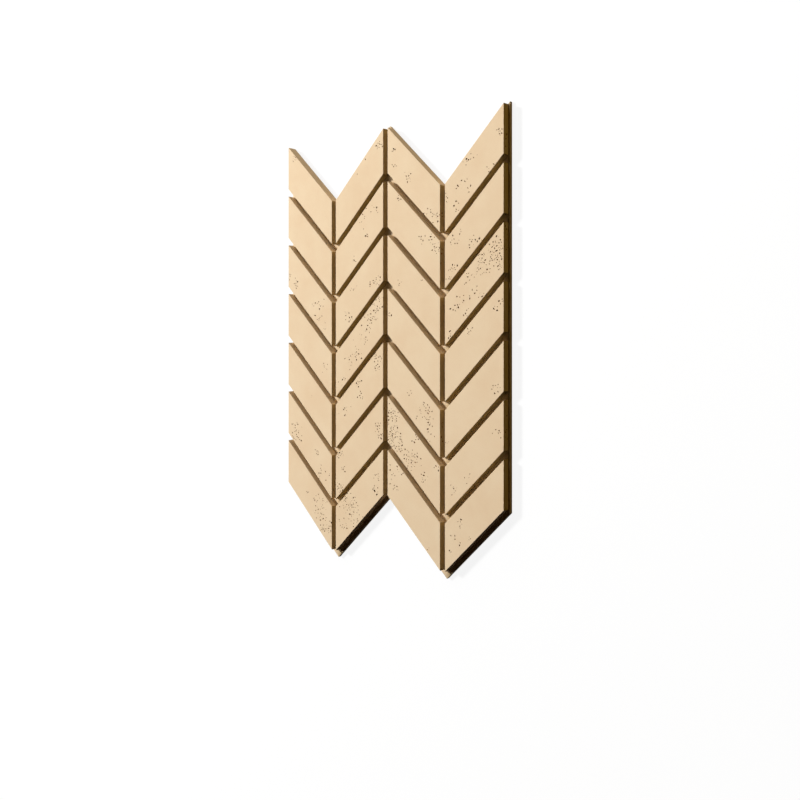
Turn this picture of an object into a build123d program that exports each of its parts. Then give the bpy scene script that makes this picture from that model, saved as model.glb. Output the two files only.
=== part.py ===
"""Cast concrete wall panel with a chevron relief, lying on its back with the relief up.

Slanted slats stand in upright columns on a thin backing plate. The slant turns over from one column
to the next, so the slats meet in V shapes and the top and bottom ends of the panel are zigzags that
fit into the panels above and below. Panel, slats and backing are one casting.

Frame: +X across the columns, +Y along the columns towards the top end, +Z out of the face. The origin
is on the back face, under the middle of the panel's outline. Millimetres and degrees.
"""
from build123d import *
from math import cos, radians, tan
import os

# The pattern of slats
columns = 4
courses = 7
column_pitch = 150.0
slat_pitch = 80.55      # square across the slats, from one slat to the next
slat_angle = 45.0       # between a slat and the panel's width
column_groove = 12.2    # between two columns, at the face
slat_groove = 12.2      # between two slats, square across, at the face
side_inset = 5.1        # from the pattern's left and right lines in to the faces of the outer slats
end_inset = 5.9         # from its zigzag end lines in to the faces of the first and last slats

# The section
backing_thickness = 7.0
relief_height = 15.6
mould_draft = 1.0       # lean of each slat's walls, so that the casting leaves its mould
arris_radius = 0.6      # rounding of the edges around each slat's face

# How far the backing stands out past the foot of the slats. At the top and left it ends flush with them.
bottom_ledge = 8.4
right_ledge = 4.6

# What follows from the sizes above
slope = tan(radians(slat_angle))
along_column = 1.0 / cos(radians(slat_angle))   # height up a column of 1 mm square across a slat
course_height = slat_pitch * along_column
foot_offset = relief_height * tan(radians(mould_draft))


def chevron_line(column, x):
    """Height of the zigzag of the pattern at a place in a column, zero at its peaks."""
    left = column * column_pitch
    right = left + column_pitch
    falls_to_the_right = column % 2 == 0
    return -slope * (x - left if falls_to_the_right else right - x)


def slanted_outline(column, left, right, top, bottom):
    """Outline between two uprights of a column and two slanted lines, given by their heights."""
    return Polygon(
        (left, chevron_line(column, left) + bottom),
        (right, chevron_line(column, right) + bottom),
        (right, chevron_line(column, right) + top),
        (left, chevron_line(column, left) + top),
        align=None,
    )


def slat(column, course):
    """One raised slat, wider at its foot than at its face, with rounded edges around the face."""
    left_inset = side_inset if column == 0 else column_groove / 2
    right_inset = side_inset if column == columns - 1 else column_groove / 2
    top_inset = end_inset if course == 0 else slat_groove / 2
    bottom_inset = end_inset if course == courses - 1 else slat_groove / 2
    top_line = -course * course_height
    face = slanted_outline(
        column,
        column * column_pitch + left_inset,
        (column + 1) * column_pitch - right_inset,
        top_line - top_inset * along_column,
        top_line - course_height + bottom_inset * along_column,
    )
    upright = extrude(Pos(0, 0, backing_thickness) * face, amount=relief_height)
    walls = upright.faces().filter_by(Axis.Z, reverse=True)
    face_plane = Plane.XY.offset(backing_thickness + relief_height)
    leaning = draft(walls, face_plane, mould_draft)
    return fillet(leaning.faces().sort_by(Axis.Z)[-1].edges(), radius=arris_radius)


def backing():
    """The thin plate behind the slats, with its zigzag ends and its ledges at the bottom and right."""
    top = (foot_offset - end_inset) * along_column
    bottom = -courses * course_height - (bottom_ledge + foot_offset - end_inset) * along_column
    outline = Sketch()
    for column in range(columns):
        left = column * column_pitch
        right = left + column_pitch
        if column == 0:
            left += side_inset - foot_offset
        if column == columns - 1:
            right -= side_inset - foot_offset - right_ledge
        outline += slanted_outline(column, left, right, top, bottom)
    return extrude(outline, amount=backing_thickness)


def chevron_panel():
    """The whole casting, with its origin under the middle of its outline."""
    slats = [slat(column, course) for column in range(columns) for course in range(courses)]
    casting = backing() + slats
    middle = casting.bounding_box().center()
    return Pos(-middle.X, -middle.Y, 0) * casting


os.makedirs("parts", exist_ok=True)
export_step(chevron_panel(), "parts/chevron_panel.step")
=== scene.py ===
"""Looks of a cast concrete wall panel with a chevron relief, lying on its back on a pale floor.

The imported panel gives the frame. A copy of it gets the pores that air bubbles leave in cast concrete,
cut as real holes, and one procedural concrete finish. A camera, a pale floor and four lamps make the
picture. Lengths are metres, and a name that ends in _mm is in millimetres.
"""

import logging
import math
from dataclasses import dataclass
from enum import Enum

import bpy
import numpy as np
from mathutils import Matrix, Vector


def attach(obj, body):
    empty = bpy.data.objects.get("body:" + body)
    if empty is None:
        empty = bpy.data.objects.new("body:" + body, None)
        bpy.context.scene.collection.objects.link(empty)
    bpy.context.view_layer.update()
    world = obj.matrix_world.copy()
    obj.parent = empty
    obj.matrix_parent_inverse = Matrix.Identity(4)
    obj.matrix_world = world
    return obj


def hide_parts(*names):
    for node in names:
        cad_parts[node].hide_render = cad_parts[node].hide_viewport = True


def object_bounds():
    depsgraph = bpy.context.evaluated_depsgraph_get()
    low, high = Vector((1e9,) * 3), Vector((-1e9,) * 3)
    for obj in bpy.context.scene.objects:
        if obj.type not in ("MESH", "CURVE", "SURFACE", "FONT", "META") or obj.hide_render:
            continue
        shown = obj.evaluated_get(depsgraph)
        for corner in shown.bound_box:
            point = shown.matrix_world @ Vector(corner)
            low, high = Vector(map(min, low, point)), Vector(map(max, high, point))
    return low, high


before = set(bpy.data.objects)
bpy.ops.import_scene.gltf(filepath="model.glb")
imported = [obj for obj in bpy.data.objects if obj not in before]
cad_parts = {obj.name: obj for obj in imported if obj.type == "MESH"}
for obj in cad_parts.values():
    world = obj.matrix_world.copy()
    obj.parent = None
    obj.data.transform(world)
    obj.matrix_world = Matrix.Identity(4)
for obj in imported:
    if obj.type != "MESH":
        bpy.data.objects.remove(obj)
CAD_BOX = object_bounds()

LOG = logging.getLogger("wall_panel")
MM = 0.001
PANEL_NODE = "chevron_panel"
PORE_ATTRIBUTE = "pore"
# Face attribute with the share of painted brown shade on each groove wall
WALL_SHADE_ATTRIBUTE = "wall_painted_shade"
UP = Vector((0, 0, 1))

# Socket numbers of a Mix node: its share, then the two colours or the two numbers that it mixes
MIX_SHARE = 0
COLOUR_A, COLOUR_B, COLOUR_OUT = 6, 7, 2
NUMBER_A, NUMBER_B, NUMBER_OUT = 2, 3, 0


def linear(hex_colour: str) -> tuple[float, float, float, float]:
    """Turns an sRGB hex colour into linear red, green, blue and alpha.

    Args:
        hex_colour: six hex digits after a hash sign.

    Returns:
        The four linear values, with alpha 1.
    """
    coded = [int(hex_colour[place:place + 2], 16) / 255 for place in (1, 3, 5)]
    red, green, blue = [c / 12.92 if c <= 0.04045 else ((c + 0.055) / 1.055) ** 2.4 for c in coded]
    return red, green, blue, 1.0


def add_node(tree: bpy.types.NodeTree, kind: str, inputs: dict[str | int, object] | None = None,
             **settings: object) -> bpy.types.Node:
    """Adds one shader node with its settings, input values and links.

    Args:
        tree: the node tree that gets the node.
        kind: the node's Blender type.
        inputs: socket name or number to a value, or to the output socket that feeds it.
        settings: properties of the node itself.

    Returns:
        The new node.
    """
    node = tree.nodes.new(kind)
    for name, value in settings.items():
        setattr(node, name, value)
    for name, value in (inputs or {}).items():
        if isinstance(value, bpy.types.NodeSocket):
            tree.links.new(value, node.inputs[name])
        else:
            node.inputs[name].default_value = value
    return node


def shown_to_eye(tree: bpy.types.NodeTree) -> bpy.types.NodeSocket:
    """Adds the test for light that reaches the eye directly, in a reflection or through glass.

    Args:
        tree: the node tree that gets the test.

    Returns:
        The socket that gives 1 for such light and 0 for light that falls on the panel.
    """
    path = add_node(tree, "ShaderNodeLightPath")
    seen = add_node(tree, "ShaderNodeMath", {
        0: path.outputs["Is Camera Ray"], 1: path.outputs["Is Glossy Ray"]}, operation="MAXIMUM")
    shown = add_node(tree, "ShaderNodeMath", {
        0: seen.outputs[0], 1: path.outputs["Is Transmission Ray"]}, operation="MAXIMUM")
    return shown.outputs[0]


def deselect_all() -> None:
    """Leaves object mode active with nothing selected."""
    if bpy.context.object is not None and bpy.context.object.mode != "OBJECT":
        bpy.ops.object.mode_set(mode="OBJECT")
    bpy.ops.object.select_all(action="DESELECT")


def select_only(piece: bpy.types.Object) -> None:
    """Makes one object the active one and the only one selected.

    Args:
        piece: the object to select.
    """
    deselect_all()
    piece.select_set(True)
    bpy.context.view_layer.objects.active = piece


@dataclass(frozen=True)
class ReliefPattern:
    """Sizes of the chevron relief that place a spot on a slat, as in the part itself."""

    columns: int = 4
    column_pitch: float = 0.150
    slat_pitch: float = 0.08055
    slat_angle_deg: float = 45.0
    groove: float = 0.0122
    side_inset: float = 0.0051
    draft_deg: float = 1.0
    # From the pattern's right line out to the panel's edge, and from its upper peaks down to the panel's
    edge_out: float = -0.000228
    peak_drop: float = 0.007959

    @property
    def course_height(self) -> float:
        """Height of one course, up a column."""
        return self.slat_pitch / math.cos(math.radians(self.slat_angle_deg))

    def left_edge(self, column: int) -> float:
        """Place on X of the left side of a column, halfway into its groove. The first column is 1."""
        return CAD_BOX[1].x - self.edge_out - (self.columns - column + 1) * self.column_pitch

    def right_wall(self, column: int) -> float:
        """Place on X of the upper edge of a column's right wall. The first column is 1."""
        inset = self.side_inset if column == self.columns else self.groove / 2
        return self.left_edge(column + 1) - inset

    def spot(self, column: int, course: int, along: float, down: float) -> Vector:
        """Place on the face of a slat.

        Args:
            column: the column, counted from 1 at the left.
            course: the course, counted from 1 at the top.
            along: share of the column's width, from its left side.
            down: share of the course's height, from the slat's upper groove.

        Returns:
            The point on the face.
        """
        top = CAD_BOX[1]
        falls_to_the_right = column % 2 == 1
        run = along if falls_to_the_right else 1 - along
        line = top.y + self.peak_drop - run * self.column_pitch * math.tan(math.radians(self.slat_angle_deg))
        return Vector((self.left_edge(column) + along * self.column_pitch,
                       line - (course - 1 + down) * self.course_height, top.z))


@dataclass(frozen=True)
class CastConcrete:
    """Fair-faced architectural concrete, cast in a smooth mould from white cement and pale sand.

    The eye gets a matt, even, sand-coloured skin with the faintest clouds from the mix and a fine grain
    of sand. The pores are darker and browner: raw paste where no mould smoothed it, with painted shade
    on it. The walls inside the grooves get painted shade in brown, the most on walls that face down, and
    so do the right-hand ledge and the floors of the grooves that rise to the right.
    """

    # White cement and pale sand, cast against a smooth mould: a matt skin, even at a glance and faintly
    # clouded when looked at. It scatters nearly all the light, so the sheen is kept far down.
    pale: str = "#edd5b2"
    deep: str = "#e9ceaa"
    roughness: float = 0.88
    ior: float = 1.5
    sheen_level: float = 0.08
    cloud_mm: float = 70.0
    cloud_detail: float = 5.0
    cloud_roughness: float = 0.6
    cloud_band: tuple[float, float] = (0.35, 0.65)
    # Real sand grains are about 0.3 mm, too fine to show here, so the grain is drawn five times coarser.
    grain_dark: str = "#d8b991"
    grain_mm: float = 1.6
    grain_detail: float = 3.0
    grain_roughness: float = 0.7
    grain_band: tuple[float, float] = (0.56, 0.74)
    grain_most: float = 0.4
    grain_relief_mm: float = 0.05
    # A cast face is never quite flat: shallow waves as long as the stiffness of the mould allows.
    wave_mm: float = 45.0
    wave_detail: float = 2.0
    wave_relief_mm: float = 0.06
    # Inside the pores: darker and browner than the skin, partly raw paste that no mould smoothed and partly
    # painted shade.
    pore_paste_and_shade: str = "#925a1c"
    # Painted shade in brown: it starts on the groove walls under the rounded edge of a slat, and lies on the
    # backing plate where it is bare.
    groove_shade: str = "#968052"
    shade_top_mm: float = 22.5
    shade_full_mm: float = 21.7
    plate_top_mm: float = 7.0
    plate_near_mm: float = 0.2
    ledge_mm: float = 4.6
    ledge_fade: float = 0.5
    groove_floor_shade: float = 0.7

    def skin(self, tree: bpy.types.NodeTree, place: bpy.types.NodeSocket,
             grain: bpy.types.NodeSocket) -> bpy.types.NodeSocket:
        """Adds the colour of the bare skin, with its clouds and its darker grains.

        Args:
            tree: the material's node tree.
            place: the Object coordinates.
            grain: the pattern of sand grains.

        Returns:
            The socket with the colour.
        """
        clouds = add_node(tree, "ShaderNodeTexNoise", {
            "Vector": place, "Scale": 1 / (self.cloud_mm * MM), "Detail": self.cloud_detail,
            "Roughness": self.cloud_roughness})
        cloud_share = add_node(tree, "ShaderNodeMapRange", {
            "Value": clouds.outputs["Fac"], "From Min": self.cloud_band[0], "From Max": self.cloud_band[1]})
        clouded = add_node(tree, "ShaderNodeMix", {
            MIX_SHARE: cloud_share.outputs["Result"], COLOUR_A: linear(self.deep),
            COLOUR_B: linear(self.pale)}, data_type="RGBA")
        grain_share = add_node(tree, "ShaderNodeMapRange", {
            "Value": grain, "From Min": self.grain_band[0], "From Max": self.grain_band[1],
            "To Max": self.grain_most})
        grained = add_node(tree, "ShaderNodeMix", {
            MIX_SHARE: grain_share.outputs["Result"], COLOUR_A: clouded.outputs[COLOUR_OUT],
            COLOUR_B: linear(self.grain_dark)}, data_type="RGBA")
        return grained.outputs[COLOUR_OUT]

    def painted_plate_shade(self, tree: bpy.types.NodeTree, across: bpy.types.NodeSocket,
                   pattern: ReliefPattern) -> bpy.types.NodeSocket:
        """Adds the share of painted shade on the bare plate, by its place across the panel.

        It is none in the grooves that fall to the right, grows across the grooves between the columns to
        its full share in the grooves that rise to the right, and fades outwards on the right-hand ledge.

        Args:
            tree: the material's node tree.
            across: the place across the panel.
            pattern: the relief, which says where the grooves lie.

        Returns:
            The socket with the share.
        """
        pair_width = 2 * pattern.column_pitch
        pair_start = pattern.left_edge(1) - pattern.column_pitch / 2
        pairs = add_node(tree, "ShaderNodeMapRange", {
            "Value": across, "From Min": pair_start, "From Max": pair_start + pair_width}, clamp=False)
        in_pair = add_node(tree, "ShaderNodeMath", {0: pairs.outputs["Result"]}, operation="FRACT")
        from_middle = add_node(tree, "ShaderNodeMath", {0: in_pair.outputs[0], 1: 0.5}, operation="SUBTRACT")
        away = add_node(tree, "ShaderNodeMath", {0: from_middle.outputs[0]}, operation="ABSOLUTE")
        slat_end = (pattern.column_pitch - pattern.groove) / 2 / pair_width
        next_slat = (pattern.column_pitch + pattern.groove) / 2 / pair_width
        # Painted shade on the plate in the grooves: none where they fall to the right, full where they rise
        groove_floor_shade = add_node(tree, "ShaderNodeMapRange", {
            "Value": away.outputs[0], "From Min": slat_end, "From Max": next_slat,
            "To Max": self.groove_floor_shade})
        ledge_out = CAD_BOX[1].x
        ledge_in = ledge_out - self.ledge_mm * MM
        # Painted shade on the right-hand ledge, which lies in the slat wall's shadow
        past_foot = add_node(tree, "ShaderNodeMath", {0: across, 1: ledge_in}, operation="GREATER_THAN")
        ledge_shade = add_node(tree, "ShaderNodeMapRange", {
            "Value": across, "From Min": ledge_in, "From Max": ledge_out, "To Min": 1.0,
            "To Max": self.ledge_fade})
        plate_shade_share = add_node(tree, "ShaderNodeMix", {
            MIX_SHARE: past_foot.outputs[0], NUMBER_A: groove_floor_shade.outputs["Result"],
            NUMBER_B: ledge_shade.outputs["Result"]})
        return plate_shade_share.outputs[NUMBER_OUT]

    def painted_shade_share(self, tree: bpy.types.NodeTree, place: bpy.types.NodeSocket,
                pattern: ReliefPattern) -> bpy.types.NodeSocket:
        """Adds the share of painted brown shade on the groove walls and on the bare plate.

        Args:
            tree: the material's node tree.
            place: the Object coordinates.
            pattern: the relief, which says where the grooves lie.

        Returns:
            The socket with the share.
        """
        axes = add_node(tree, "ShaderNodeSeparateXYZ", {"Vector": place})
        across, height = axes.outputs["X"], axes.outputs["Z"]
        shade_depth = add_node(tree, "ShaderNodeMapRange", {
            "Value": height, "From Min": self.shade_top_mm * MM, "From Max": self.shade_full_mm * MM})
        wall = add_node(tree, "ShaderNodeAttribute", attribute_name=WALL_SHADE_ATTRIBUTE)
        painted_shade = add_node(tree, "ShaderNodeMath", {
            0: wall.outputs["Fac"], 1: shade_depth.outputs["Result"]}, operation="MULTIPLY")
        on_plate = add_node(tree, "ShaderNodeMath", {
            0: height, 1: self.plate_top_mm * MM, 2: self.plate_near_mm * MM}, operation="COMPARE")
        plate_shade_share = self.painted_plate_shade(tree, across, pattern)
        wall_or_plate_shade = add_node(tree, "ShaderNodeMath", {
            0: on_plate.outputs[0], 1: plate_shade_share, 2: painted_shade.outputs[0]}, operation="MULTIPLY_ADD")
        return wall_or_plate_shade.outputs[0]

    def relief(self, tree: bpy.types.NodeTree, place: bpy.types.NodeSocket,
               grain: bpy.types.NodeSocket) -> bpy.types.NodeSocket:
        """Adds the slight waves of the cast face and the grain of sand on them.

        Args:
            tree: the material's node tree.
            place: the Object coordinates.
            grain: the pattern of sand grains.

        Returns:
            The socket with the surface's direction.
        """
        waves = add_node(tree, "ShaderNodeTexNoise", {
            "Vector": place, "Scale": 1 / (self.wave_mm * MM), "Detail": self.wave_detail})
        wave_bump = add_node(tree, "ShaderNodeBump", {
            "Height": waves.outputs["Fac"], "Distance": self.wave_relief_mm * MM, "Strength": 1.0})
        grain_bump = add_node(tree, "ShaderNodeBump", {
            "Height": grain, "Distance": self.grain_relief_mm * MM, "Strength": 1.0,
            "Normal": wave_bump.outputs["Normal"]})
        return grain_bump.outputs["Normal"]

    def material(self, pattern: ReliefPattern) -> bpy.types.Material:
        """Builds the concrete's node tree on Object coordinates.

        Args:
            pattern: the relief, which says where the grooves lie.

        Returns:
            The finished material.
        """
        material = bpy.data.materials.new("cast_concrete")
        material.use_nodes = True
        tree = material.node_tree
        tree.nodes.clear()
        place = add_node(tree, "ShaderNodeTexCoord").outputs["Object"]
        grain = add_node(tree, "ShaderNodeTexNoise", {
            "Vector": place, "Scale": 1 / (self.grain_mm * MM), "Detail": self.grain_detail,
            "Roughness": self.grain_roughness}).outputs["Fac"]
        # Painted shade in brown over the skin, on the groove walls and on the bare plate
        with_painted_shade = add_node(tree, "ShaderNodeMix", {
            MIX_SHARE: self.painted_shade_share(tree, place, pattern), COLOUR_A: self.skin(tree, place, grain),
            COLOUR_B: linear(self.groove_shade)}, data_type="RGBA")
        # Painted shade in the pores, over their darker raw paste
        pore = add_node(tree, "ShaderNodeAttribute", attribute_name=PORE_ATTRIBUTE)
        with_pore_shade = add_node(tree, "ShaderNodeMix", {
            MIX_SHARE: pore.outputs["Fac"], COLOUR_A: with_painted_shade.outputs[COLOUR_OUT],
            COLOUR_B: linear(self.pore_paste_and_shade)}, data_type="RGBA")
        shader = add_node(tree, "ShaderNodeBsdfPrincipled", {
            "Base Color": with_pore_shade.outputs[COLOUR_OUT], "Roughness": self.roughness, "IOR": self.ior,
            "Specular IOR Level": self.sheen_level, "Normal": self.relief(tree, place, grain)})
        add_node(tree, "ShaderNodeOutputMaterial", {"Surface": shader.outputs["BSDF"]})
        return material


@dataclass(frozen=True)
class StudioFloor:
    """Plain matt white board that shows white to the eye, throws little light back and keeps shadows."""

    # White painted board: matt, so that the eye sees one even white and the panel's soft shadow on it.
    white: str = "#ffffff"
    dull: str = "#0a0908"
    glow: float = 0.89
    shadow_share: float = 0.13

    def material(self) -> bpy.types.Material:
        """Builds the floor's node tree.

        Returns:
            The finished material.
        """
        material = bpy.data.materials.new("studio_floor")
        material.use_nodes = True
        tree = material.node_tree
        tree.nodes.clear()
        matt = add_node(tree, "ShaderNodeBsdfDiffuse", {
            "Color": tuple(self.shadow_share * c for c in linear(self.white)[:3]) + (1.0,)})
        glow = add_node(tree, "ShaderNodeEmission", {"Color": linear(self.white), "Strength": self.glow})
        bright = add_node(tree, "ShaderNodeAddShader", {0: matt.outputs[0], 1: glow.outputs[0]})
        dim = add_node(tree, "ShaderNodeBsdfDiffuse", {"Color": linear(self.dull)})
        mixed = add_node(tree, "ShaderNodeMixShader", {
            0: shown_to_eye(tree), 1: dim.outputs[0], 2: bright.outputs[0]})
        add_node(tree, "ShaderNodeOutputMaterial", {"Surface": mixed.outputs[0]})
        return material


class PoreSize(Enum):
    """Typical radius of a cluster's pores, in millimetres."""

    FINE = 0.86
    COMMON = 1.13
    COARSE = 1.42


@dataclass(frozen=True)
class PoreCluster:
    """A group of pores on one slat's face."""

    column: int
    course: int
    along: float
    down: float
    reach_mm: float
    count: int
    size: PoreSize = PoreSize.COMMON


CLUSTERS = (
    PoreCluster(1, 1, 0.16, 0.13, 9, 7, PoreSize.FINE),
    PoreCluster(1, 3, 0.06, 0.72, 6, 4),
    PoreCluster(1, 3, 0.21, 0.62, 9, 9),
    PoreCluster(1, 3, 0.66, 0.50, 16, 10),
    PoreCluster(1, 3, 0.70, 0.68, 12, 6),
    PoreCluster(1, 3, 0.84, 0.80, 10, 3, PoreSize.FINE),
    PoreCluster(1, 4, 0.79, 0.60, 14, 7),
    PoreCluster(1, 5, 0.55, 0.30, 12, 2, PoreSize.FINE),
    PoreCluster(1, 6, 0.23, 0.71, 20, 24),
    PoreCluster(1, 6, 0.66, 0.43, 12, 6),
    PoreCluster(1, 6, 0.74, 0.64, 16, 9),
    PoreCluster(1, 6, 0.92, 0.55, 8, 3),
    PoreCluster(1, 7, 0.43, 0.57, 5, 3),
    PoreCluster(1, 7, 0.70, 0.35, 18, 17),
    PoreCluster(1, 7, 0.72, 0.55, 16, 18),
    PoreCluster(1, 7, 0.79, 0.76, 14, 13),
    PoreCluster(1, 7, 0.90, 0.60, 12, 11),
    PoreCluster(2, 1, 0.49, 0.23, 3, 1),
    PoreCluster(2, 1, 0.63, 0.15, 4, 2, PoreSize.COARSE),
    PoreCluster(2, 1, 0.89, 0.29, 9, 11),
    PoreCluster(2, 2, 0.68, 0.18, 16, 8),
    PoreCluster(2, 2, 0.59, 0.38, 16, 5),
    PoreCluster(2, 2, 0.66, 0.64, 5, 3, PoreSize.COARSE),
    PoreCluster(2, 2, 0.40, 0.70, 9, 3),
    PoreCluster(2, 3, 0.37, 0.24, 12, 6, PoreSize.FINE),
    PoreCluster(2, 3, 0.25, 0.59, 14, 6),
    PoreCluster(2, 3, 0.36, 0.80, 8, 5),
    PoreCluster(2, 3, 0.84, 0.74, 12, 14),
    PoreCluster(2, 4, 0.85, 0.16, 18, 17),
    PoreCluster(2, 4, 0.74, 0.36, 22, 24),
    PoreCluster(2, 4, 0.55, 0.40, 22, 18),
    PoreCluster(2, 4, 0.44, 0.58, 16, 11),
    PoreCluster(2, 4, 0.30, 0.62, 14, 8),
    PoreCluster(2, 4, 0.18, 0.80, 13, 6),
    PoreCluster(2, 5, 0.86, 0.26, 9, 13),
    PoreCluster(2, 5, 0.87, 0.43, 7, 8),
    PoreCluster(2, 5, 0.50, 0.24, 9, 9),
    PoreCluster(2, 5, 0.53, 0.51, 7, 7),
    PoreCluster(2, 5, 0.19, 0.40, 12, 7),
    PoreCluster(2, 6, 0.15, 0.18, 8, 10),
    PoreCluster(2, 6, 0.21, 0.50, 8, 6),
    PoreCluster(2, 6, 0.16, 0.85, 12, 14),
    PoreCluster(2, 6, 0.86, 0.51, 9, 10),
    PoreCluster(2, 6, 0.89, 0.76, 8, 8),
    PoreCluster(2, 7, 0.25, 0.22, 16, 20),
    PoreCluster(2, 7, 0.31, 0.41, 20, 22),
    PoreCluster(2, 7, 0.16, 0.52, 12, 11),
    PoreCluster(2, 7, 0.41, 0.62, 16, 11),
    PoreCluster(2, 7, 0.80, 0.64, 8, 7, PoreSize.COARSE),
    PoreCluster(2, 7, 0.87, 0.48, 11, 7),
    PoreCluster(3, 1, 0.14, 0.39, 4, 4),
    PoreCluster(3, 1, 0.17, 0.63, 6, 5),
    PoreCluster(3, 1, 0.42, 0.59, 12, 10),
    PoreCluster(3, 1, 0.75, 0.77, 9, 6),
    PoreCluster(3, 1, 0.92, 0.68, 10, 9),
    PoreCluster(3, 2, 0.24, 0.17, 7, 5),
    PoreCluster(3, 2, 0.64, 0.43, 11, 6),
    PoreCluster(3, 2, 0.83, 0.21, 10, 8),
    PoreCluster(3, 2, 0.93, 0.26, 11, 12),
    PoreCluster(3, 3, 0.24, 0.70, 10, 4),
    PoreCluster(3, 3, 0.65, 0.12, 5, 2),
    PoreCluster(3, 4, 0.09, 0.51, 7, 4),
    PoreCluster(3, 5, 0.46, 0.46, 8, 4),
    PoreCluster(3, 5, 0.73, 0.36, 16, 12),
    PoreCluster(3, 5, 0.56, 0.70, 12, 5),
    PoreCluster(3, 5, 0.68, 0.66, 16, 7),
    PoreCluster(3, 5, 0.80, 0.58, 16, 7),
    PoreCluster(3, 5, 0.80, 0.80, 12, 4),
    PoreCluster(3, 6, 0.09, 0.36, 19, 27),
    PoreCluster(3, 6, 0.16, 0.55, 18, 30),
    PoreCluster(3, 6, 0.12, 0.76, 14, 18),
    PoreCluster(3, 6, 0.28, 0.72, 18, 20),
    PoreCluster(3, 6, 0.40, 0.84, 14, 10),
    PoreCluster(3, 6, 0.45, 0.60, 15, 11),
    PoreCluster(3, 6, 0.52, 0.22, 12, 6),
    PoreCluster(3, 6, 0.54, 0.58, 14, 8, PoreSize.COARSE),
    PoreCluster(3, 6, 0.65, 0.64, 13, 9),
    PoreCluster(3, 6, 0.92, 0.18, 8, 4),
    PoreCluster(3, 7, 0.18, 0.34, 16, 13),
    PoreCluster(3, 7, 0.21, 0.50, 8, 6),
    PoreCluster(3, 7, 0.80, 0.75, 8, 2, PoreSize.FINE),
    PoreCluster(4, 1, 0.92, 0.48, 7, 8),
    PoreCluster(4, 1, 0.43, 0.23, 13, 9),
    PoreCluster(4, 1, 0.80, 0.83, 10, 4),
    PoreCluster(4, 1, 0.28, 0.40, 12, 5, PoreSize.COARSE),
    PoreCluster(4, 1, 0.45, 0.72, 8, 3),
    PoreCluster(4, 1, 0.10, 0.42, 9, 4),
    PoreCluster(4, 1, 0.22, 0.78, 12, 6),
    PoreCluster(4, 2, 0.17, 0.24, 10, 7),
    PoreCluster(4, 2, 0.30, 0.34, 9, 4),
    PoreCluster(4, 2, 0.45, 0.70, 12, 11),
    PoreCluster(4, 2, 0.13, 0.67, 9, 10),
    PoreCluster(4, 2, 0.15, 0.87, 8, 7),
    PoreCluster(4, 3, 0.86, 0.30, 15, 21),
    PoreCluster(4, 3, 0.88, 0.48, 16, 21),
    PoreCluster(4, 3, 0.75, 0.46, 13, 10),
    PoreCluster(4, 3, 0.62, 0.14, 9, 13),
    PoreCluster(4, 3, 0.60, 0.38, 13, 10),
    PoreCluster(4, 3, 0.40, 0.24, 15, 8),
    PoreCluster(4, 3, 0.50, 0.62, 16, 10),
    PoreCluster(4, 3, 0.33, 0.52, 13, 7),
    PoreCluster(4, 3, 0.40, 0.86, 12, 5),
    PoreCluster(4, 3, 0.20, 0.48, 14, 6),
    PoreCluster(4, 3, 0.13, 0.87, 10, 4),
    PoreCluster(4, 3, 0.93, 0.76, 8, 8),
    PoreCluster(4, 4, 0.92, 0.37, 8, 8),
    PoreCluster(4, 4, 0.42, 0.20, 8, 6),
    PoreCluster(4, 5, 0.86, 0.74, 12, 9),
    PoreCluster(4, 5, 0.10, 0.70, 8, 3, PoreSize.FINE),
    PoreCluster(4, 6, 0.38, 0.64, 11, 4),
    PoreCluster(4, 6, 0.20, 0.74, 10, 7, PoreSize.FINE),
    PoreCluster(4, 6, 0.90, 0.56, 7, 6),
    PoreCluster(4, 7, 0.34, 0.50, 13, 6),
    PoreCluster(4, 7, 0.20, 0.44, 12, 3),
    PoreCluster(4, 7, 0.13, 0.67, 4, 2, PoreSize.COARSE),
    PoreCluster(4, 7, 0.41, 0.80, 10, 3),
    PoreCluster(4, 7, 0.27, 0.70, 6, 2),
)


@dataclass(frozen=True)
class WallPores:
    """A group of pores on the right wall of one slat."""

    column: int
    course: int
    down: float
    count: int


WALL_PORES = (
    WallPores(2, 6, 0.62, 6),
    WallPores(2, 7, 0.52, 4),
    WallPores(3, 1, 0.60, 3),
    WallPores(3, 2, 0.28, 4),
    WallPores(3, 5, 0.42, 6),
    WallPores(4, 1, 0.78, 5),
    WallPores(4, 3, 0.38, 7),
    WallPores(4, 6, 0.66, 5),
)


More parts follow.
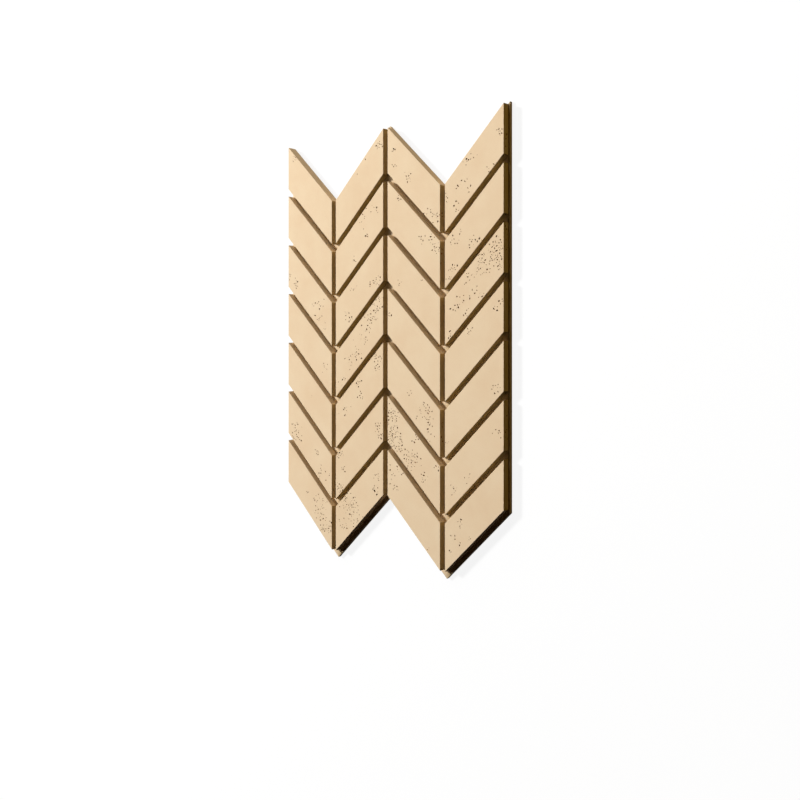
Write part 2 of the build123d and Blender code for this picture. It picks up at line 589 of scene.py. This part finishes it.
@dataclass
class PoreCutters:
    """All the pores of the casting as one mesh of small closed pits, to be cut out of it."""

    pattern: ReliefPattern
    seed: int = 1742
    sides: int = 9
    size_spread: float = 0.36
    size_range: tuple[float, float] = (0.5, 1.8)
    stretch_most: float = 2.4
    depth_share: float = 1.1
    depth_range: tuple[float, float] = (0.75, 1.25)
    uneven: float = 0.13
    # A pit starts above the skin by the lip. Its belly and lower ring are shares of depth and width.
    lip: float = 0.0005
    mouth_width: float = 0.92
    belly: tuple[float, float] = (0.35, 1.06)
    lower_ring: tuple[float, float] = (0.8, 0.68)
    clear: float = 0.0003
    edge_clear: float = 0.0004
    edge_share: float = 0.4
    pores_in_knot: int = 3
    knot_share: float = 0.75
    most_tries: int = 40
    wall_spread: float = 0.12
    wall_down: tuple[float, float] = (0.16, 0.84)
    wall_depth_mm: tuple[float, float] = (2.5, 13.0)

    def __post_init__(self) -> None:
        """Starts the seeded draws and the lists that the pits gather in."""
        self.draw = np.random.default_rng(self.seed)
        self.points: list[np.ndarray] = []
        self.faces: list[tuple[int, ...]] = []
        self.taken: list[tuple[Vector, float]] = []

    def pit(self, centre: Vector, outward: Vector, radius: float, stretch: float) -> None:
        """Adds one uneven pit, wider just under the skin than at its mouth.

        Args:
            centre: the middle of its mouth, on the surface.
            outward: the surface's outward direction there.
            radius: the mouth's mean radius.
            stretch: how many times longer than wide it is.
        """
        across = Vector((outward.y, outward.z, outward.x)).cross(outward).normalized()
        turn = self.draw.uniform(0, 2 * math.pi)
        first = np.array(across) * math.cos(turn) + np.array(outward.cross(across)) * math.sin(turn)
        second = np.cross(np.array(outward), first)
        depth = radius * self.depth_share * self.draw.uniform(*self.depth_range)
        wide, narrow = math.sqrt(stretch), 1 / math.sqrt(stretch)
        rings = [(self.lip, self.mouth_width)]
        rings += [(-share * depth, width) for share, width in (self.belly, self.lower_ring)]
        start = sum(len(block) for block in self.points)
        angles = np.arange(self.sides) * 2 * math.pi / self.sides
        middle = np.array(centre)
        up = np.array(outward)
        block = []
        wobble = 1 + self.uneven * self.draw.uniform(-1, 1, self.sides)
        for height, width in rings:
            reach = radius * width * wobble
            level = middle + up * height
            for angle, out in zip(angles, reach):
                block.append(level + first * (out * wide * math.cos(angle))
                             + second * (out * narrow * math.sin(angle)))
        block.append(middle - up * depth)
        self.points.append(np.array(block))
        self.faces.append(tuple(start + k for k in range(self.sides)))
        for ring in range(len(rings) - 1):
            for k in range(self.sides):
                after = (k + 1) % self.sides
                upper, lower = start + ring * self.sides, start + (ring + 1) * self.sides
                self.faces.append((upper + k, lower + k, lower + after, upper + after))
        low = start + (len(rings) - 1) * self.sides
        bottom = start + len(rings) * self.sides
        self.faces.extend((low + k, bottom, low + (k + 1) % self.sides) for k in range(self.sides))

    def add_if_free(self, centre: Vector, outward: Vector, radius: float, stretch: float) -> bool:
        """Adds one pit unless it would run into one that is there already.

        Args:
            centre: the middle of its mouth, on the surface.
            outward: the surface's outward direction there.
            radius: the mouth's mean radius.
            stretch: how many times longer than wide it is.

        Returns:
            True if it was added.
        """
        reach = radius * math.sqrt(stretch) * (1 + self.uneven)
        if any((centre - other).length <= reach + size + self.clear for other, size in self.taken):
            return False
        self.taken.append((centre, reach))
        self.pit(centre, outward, radius, stretch)
        return True

    def on_slat(self, column: int, course: int, point: Vector, margin: float) -> bool:
        """Says whether a point lies on a slat's face, inside its edges.

        Args:
            column: the slat's column.
            course: the slat's course.
            point: the point to test.
            margin: how far inside the edges it has to be.

        Returns:
            True if it lies there.
        """
        pattern = self.pattern
        along = (point.x - pattern.left_edge(column)) / pattern.column_pitch
        side = (pattern.groove / 2 + margin) / pattern.column_pitch
        down = (pattern.spot(column, course, along, 0.0).y - point.y) / pattern.course_height
        end = (pattern.groove / 2 + margin) / pattern.slat_pitch
        return side < along < 1 - side and end < down < 1 - end

    def drawn_size(self, size: PoreSize) -> tuple[float, float]:
        """Draws the radius of one pore of a typical size and how many times longer than wide it is."""
        share = float(np.clip(self.draw.lognormal(0, self.size_spread), *self.size_range))
        return size.value * MM * share, float(self.draw.uniform(1.0, self.stretch_most))

    def wall_pores(self, group: WallPores) -> None:
        """Adds a group's pits to the right wall of its slat.

        Args:
            group: the group of pores.
        """
        lean = math.radians(self.pattern.draft_deg)
        outward = Vector((math.cos(lean), 0, math.sin(lean)))
        edge = self.pattern.right_wall(group.column)
        for _ in range(group.count):
            down = float(np.clip(self.draw.normal(group.down, self.wall_spread), *self.wall_down))
            below = float(self.draw.uniform(*self.wall_depth_mm)) * MM
            radius, stretch = self.drawn_size(PoreSize.COMMON)
            upper = self.pattern.spot(group.column, group.course, 1.0, down)
            point = Vector((edge + below * math.tan(lean), upper.y, upper.z - below))
            self.add_if_free(point, outward, radius, stretch)

    def face_pores(self, cluster: PoreCluster) -> None:
        """Adds a cluster's pits, gathered round its middle.

        Args:
            cluster: the group of pores.
        """
        middle = self.pattern.spot(cluster.column, cluster.course, cluster.along, cluster.down)
        spread = cluster.reach_mm * MM / 2
        knots = self.draw.normal(0, spread, (1 + cluster.count // self.pores_in_knot, 2))
        made = 0
        tries = 0
        while made < cluster.count and tries < self.most_tries * cluster.count:
            tries += 1
            knot = knots[self.draw.integers(len(knots))]
            shift = knot + self.draw.normal(0, spread * self.knot_share, 2)
            radius, stretch = self.drawn_size(cluster.size)
            point = middle + Vector((shift[0], shift[1], 0))
            margin = self.edge_clear + self.edge_share * radius
            if self.on_slat(cluster.column, cluster.course, point, margin):
                made += self.add_if_free(point, UP, radius, stretch)

    def mesh(self) -> bpy.types.Mesh:
        """Makes all the pits and joins them.

        Returns:
            One mesh that holds every pit as a closed shell.
        """
        for cluster in CLUSTERS:
            self.face_pores(cluster)
        for group in WALL_PORES:
            self.wall_pores(group)
        mesh = bpy.data.meshes.new("pore_cutters")
        mesh.from_pydata(np.concatenate(self.points).tolist(), [], self.faces)
        mesh.update()
        return mesh


class WallShade(Enum):
    """Share of painted brown shade that a wall gets, by where it faces when the panel hangs on its wall."""

    NONE = 0.0
    PALE_DUST = 0.2
    SIDE = 0.68
    UNDERSIDE = 1.0


@dataclass
class CastPanel:
    """The panel as one casting, with its pores cut and its finish on."""

    pattern: ReliefPattern
    concrete: CastConcrete
    merge_mm: float = 0.002
    flat_deg: float = 0.5
    smooth_deg: float = 32.0
    # A wall faces up or down by less than this, and lies in a groove if it has another wall ahead of it
    wall_tilt: float = 0.3
    start_mm: float = 0.2
    widest_groove: float = 0.022
    turned: float = 0.3

    def copy_of_node(self) -> bpy.types.Object:
        """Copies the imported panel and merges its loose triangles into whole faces.

        Returns:
            The copy, as an object of its own.
        """
        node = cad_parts[PANEL_NODE]
        panel = bpy.data.objects.new("cast_panel", node.data.copy())
        bpy.context.scene.collection.objects.link(panel)
        select_only(panel)
        bpy.ops.object.mode_set(mode="EDIT")
        bpy.ops.mesh.select_all(action="SELECT")
        bpy.ops.mesh.remove_doubles(threshold=self.merge_mm * MM)
        bpy.ops.mesh.dissolve_limited(angle_limit=math.radians(self.flat_deg))
        bpy.ops.object.mode_set(mode="OBJECT")
        LOG.info("panel merged: %d faces", len(panel.data.polygons))
        return panel

    def mark_shaded_walls(self, panel: bpy.types.Object) -> None:
        """Marks how much painted brown shade each steep face gets.

        Args:
            panel: the merged copy of the panel.
        """
        bpy.context.view_layer.update()
        marks = []
        for face in panel.data.polygons:
            ahead = face.normal
            if abs(ahead.z) > self.wall_tilt:
                marks.append(WallShade.NONE.value)
                continue
            start = face.center + ahead * self.start_mm * MM
            in_groove = panel.ray_cast(start, ahead, distance=self.widest_groove)[0]
            # Painted shade: groove walls that face down get all of it, side walls most of it, walls that
            # face up a little
            if not in_groove:
                painted_shade = WallShade.NONE
            elif ahead.y < -self.turned:
                painted_shade = WallShade.UNDERSIDE
            else:
                painted_shade = WallShade.PALE_DUST if ahead.y > self.turned else WallShade.SIDE
            marks.append(painted_shade.value)
        panel.data.attributes.new(WALL_SHADE_ATTRIBUTE, "FLOAT", "FACE").data.foreach_set("value", marks)
        LOG.info("walls with a film: %d", sum(mark > 0 for mark in marks))

    def cut_pores(self, panel: bpy.types.Object) -> None:
        """Cuts the pores out of the casting and marks the faces that line them.

        Args:
            panel: the merged copy of the panel.
        """
        cutters = PoreCutters(self.pattern)
        cutter = bpy.data.objects.new("pore_cutters", cutters.mesh())
        bpy.context.scene.collection.objects.link(cutter)
        select_only(cutter)
        bpy.ops.object.mode_set(mode="EDIT")
        bpy.ops.mesh.select_all(action="SELECT")
        bpy.ops.mesh.normals_make_consistent(inside=False)
        bpy.ops.object.mode_set(mode="OBJECT")
        LOG.info("cutters made: %d faces", len(cutter.data.polygons))
        skin = bpy.data.materials.new("skin_mark")
        lining = bpy.data.materials.new("lining_mark")
        panel.data.materials.clear()
        panel.data.materials.append(skin)
        cutter.data.materials.append(lining)
        select_only(panel)
        cut = panel.modifiers.new("pores", "BOOLEAN")
        cut.operation = "DIFFERENCE"
        cut.solver = "EXACT"
        cut.material_mode = "TRANSFER"
        cut.object = cutter
        bpy.ops.object.modifier_apply(modifier=cut.name)
        mesh = panel.data
        lining_slot = mesh.materials.find(lining.name)
        marks = [1.0 if face.material_index == lining_slot else 0.0 for face in mesh.polygons]
        mesh.attributes.new(PORE_ATTRIBUTE, "FLOAT", "FACE").data.foreach_set("value", marks)
        mesh.polygons.foreach_set("material_index", [0] * len(marks))
        mesh.materials.clear()
        bpy.data.objects.remove(cutter)
        for mark in (skin, lining):
            bpy.data.materials.remove(mark)
        LOG.info("pores cut: %d, faces that line them: %d", len(cutters.taken), int(sum(marks)))

    def build(self) -> bpy.types.Object:
        """Makes the finished casting and puts it in the node's place.

        Returns:
            The finished piece.
        """
        panel = self.copy_of_node()
        self.mark_shaded_walls(panel)
        self.cut_pores(panel)
        select_only(panel)
        bpy.ops.object.mode_set(mode="EDIT")
        bpy.ops.mesh.select_mode(type="EDGE")
        bpy.ops.mesh.select_all(action="DESELECT")
        bpy.ops.mesh.edges_select_sharp(sharpness=math.radians(self.smooth_deg))
        bpy.ops.mesh.mark_sharp()
        bpy.ops.object.mode_set(mode="OBJECT")
        bpy.ops.object.shade_smooth()
        even = panel.modifiers.new("even_shading", "WEIGHTED_NORMAL")
        even.keep_sharp = True
        bpy.ops.object.modifier_apply(modifier=even.name)
        panel.data.materials.append(self.concrete.material(self.pattern))
        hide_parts(PANEL_NODE)
        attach(panel, "root")
        return panel


@dataclass(frozen=True)
class Lamp:
    """One square lamp that faces the panel from a direction."""

    name: str
    direction: tuple[float, float, float]
    distance: float
    size: float
    power: float
    colour: str


LAMPS = (
    Lamp("key", (-0.72, 0.33, 0.61), 10.0, 1.0, 1270.0, "#ffffff"),
    Lamp("top_fill", (-0.26, 0.96, 0.17), 3.0, 0.8, 26.0, "#fff6ee"),
    Lamp("high_fill", (-0.17, 0.79, 0.58), 4.5, 1.2, 41.0, "#ffffff"),
    Lamp("side_fill", (0.72, 0.69, 0.07), 4.0, 0.9, 18.0, "#ffd860"),
)


@dataclass
class Studio:
    """Floor, lamps and camera round the panel."""

    lamps: tuple[Lamp, ...] = LAMPS
    floor_radius: float = 20.0
    floor_sides: int = 96
    camera_place: tuple[float, float, float] = (1.1861, -0.00933, 1.4455)
    camera_yaw_deg: float = 38.911
    lens_mm: float = 39.247
    sensor_mm: float = 36.0
    sight_end: float = 60.0
    shift_down: float = 0.06105
    shift_right: float = 0.00012
    white: str = "#ffffff"
    dusk: str = "#e8a860"
    dusk_strength: float = 0.015

    def floor(self) -> None:
        """Lays the pale floor under the panel."""
        deselect_all()
        bpy.ops.mesh.primitive_circle_add(vertices=self.floor_sides, radius=self.floor_radius,
                                          fill_type="NGON", location=(0, 0, CAD_BOX[0].z))
        board = bpy.context.object
        board.name = "floor"
        bpy.ops.object.transform_apply(location=True)
        board.data.materials.append(StudioFloor().material())

    def hang(self, lamp: Lamp) -> None:
        """Hangs one lamp so that it faces the panel's middle.

        Args:
            lamp: the lamp to hang.
        """
        light = bpy.data.lights.new(lamp.name, "AREA")
        light.size = lamp.size
        light.energy = lamp.power
        light.color = linear(lamp.colour)[:3]
        place = Vector(lamp.direction).normalized() * lamp.distance
        stand = bpy.data.objects.new(lamp.name, light)
        stand.location = place
        stand.rotation_euler = (-place).to_track_quat("-Z", "Y").to_euler()
        bpy.context.scene.collection.objects.link(stand)

    def world(self) -> None:
        """Gives a dim warm surround that looks white where the eye meets it."""
        world = bpy.data.worlds.new("surround")
        world.use_nodes = True
        tree = world.node_tree
        tree.nodes.clear()
        dim = add_node(tree, "ShaderNodeBackground", {
            "Color": linear(self.dusk), "Strength": self.dusk_strength})
        white = add_node(tree, "ShaderNodeBackground", {"Color": linear(self.white), "Strength": 1.0})
        mixed = add_node(tree, "ShaderNodeMixShader", {
            0: shown_to_eye(tree), 1: dim.outputs[0], 2: white.outputs[0]})
        add_node(tree, "ShaderNodeOutputWorld", {"Surface": mixed.outputs[0]})
        bpy.context.scene.world = world

    def camera(self) -> None:
        """Stands the camera over the panel's right side, looking down and across it."""
        lens = bpy.data.cameras.new("camera")
        lens.lens = self.lens_mm
        lens.sensor_width = self.sensor_mm
        lens.shift_x = self.shift_right
        lens.shift_y = -self.shift_down
        lens.clip_end = self.sight_end
        eye = bpy.data.objects.new("camera", lens)
        eye.location = self.camera_place
        eye.rotation_euler = (0.0, math.radians(self.camera_yaw_deg), 0.0)
        bpy.context.scene.collection.objects.link(eye)
        bpy.context.scene.camera = eye

    def build(self) -> None:
        """Sets the whole studio up."""
        self.floor()
        for lamp in self.lamps:
            self.hang(lamp)
        self.world()
        self.camera()
        bpy.context.scene.view_settings.view_transform = "Standard"


def main() -> None:
    """Builds the panel and the studio."""
    logging.basicConfig(level=logging.INFO, format="%(name)s: %(message)s", force=True)
    pattern = ReliefPattern()
    panel = CastPanel(pattern, CastConcrete()).build()
    LOG.info("%s: %d faces", panel.name, len(panel.data.polygons))
    Studio().build()


if __name__ == "__main__":
    main()
